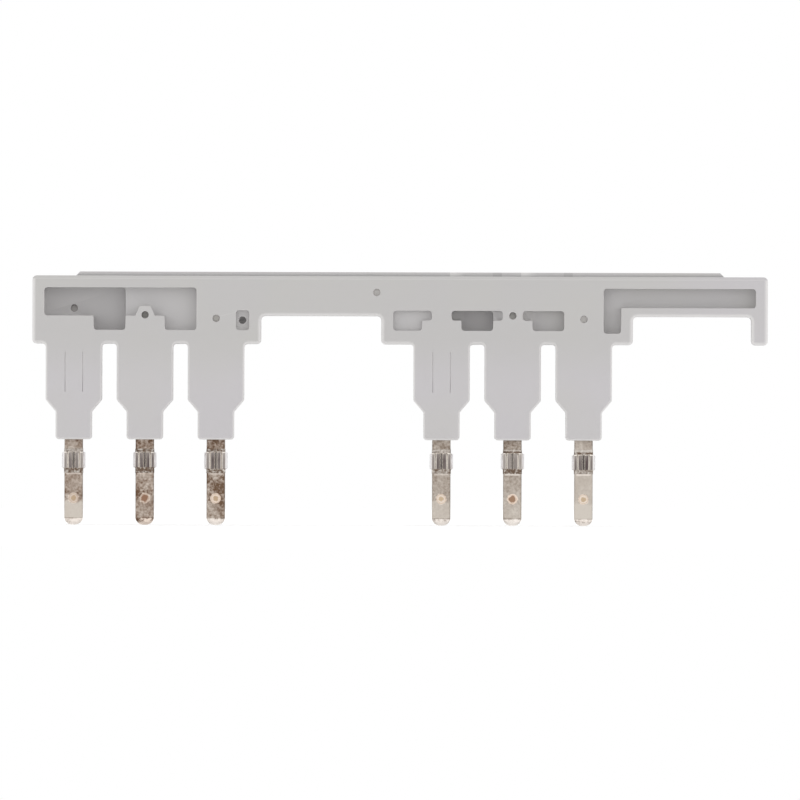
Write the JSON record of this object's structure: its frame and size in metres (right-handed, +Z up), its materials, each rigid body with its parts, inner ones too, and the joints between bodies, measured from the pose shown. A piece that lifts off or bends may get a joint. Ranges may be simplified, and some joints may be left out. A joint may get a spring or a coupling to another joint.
{
  "type": "contactor parallel link",
  "caption": "Slim moulded insulating bar with copper link strips inside and flat plug-in pins below, which joins the like poles of two contactors that stand side by side.",
  "frame": {"origin": "middle of the row of six pins, level with the ends of the moulded legs, in the middle of the pins' thickness", "axes": "+X along the bar towards the hooked arm, +Z up from the pins to the bar, -Y out of the pocketed front face"},
  "size_m": [0.09, 0.0068, 0.0309],
  "materials": {
    "grey_moulding": "matt moulded thermoplastic, light grey",
    "tinned_copper": "tin-plated copper strip, tarnished in patches",
    "sleeve_metal": "bright plated spring sheet"
  },
  "bodies": {
    "root": {"moulded_housing": "grey_moulding", "link_bar_1": "tinned_copper", "link_bar_2": "tinned_copper", "link_bar_3": "tinned_copper", "contact_sleeve_1": "sleeve_metal", "contact_sleeve_2": "sleeve_metal", "contact_sleeve_3": "sleeve_metal", "contact_sleeve_4": "sleeve_metal", "contact_sleeve_5": "sleeve_metal", "contact_sleeve_6": "sleeve_metal"}
  },
  "joints": []
}
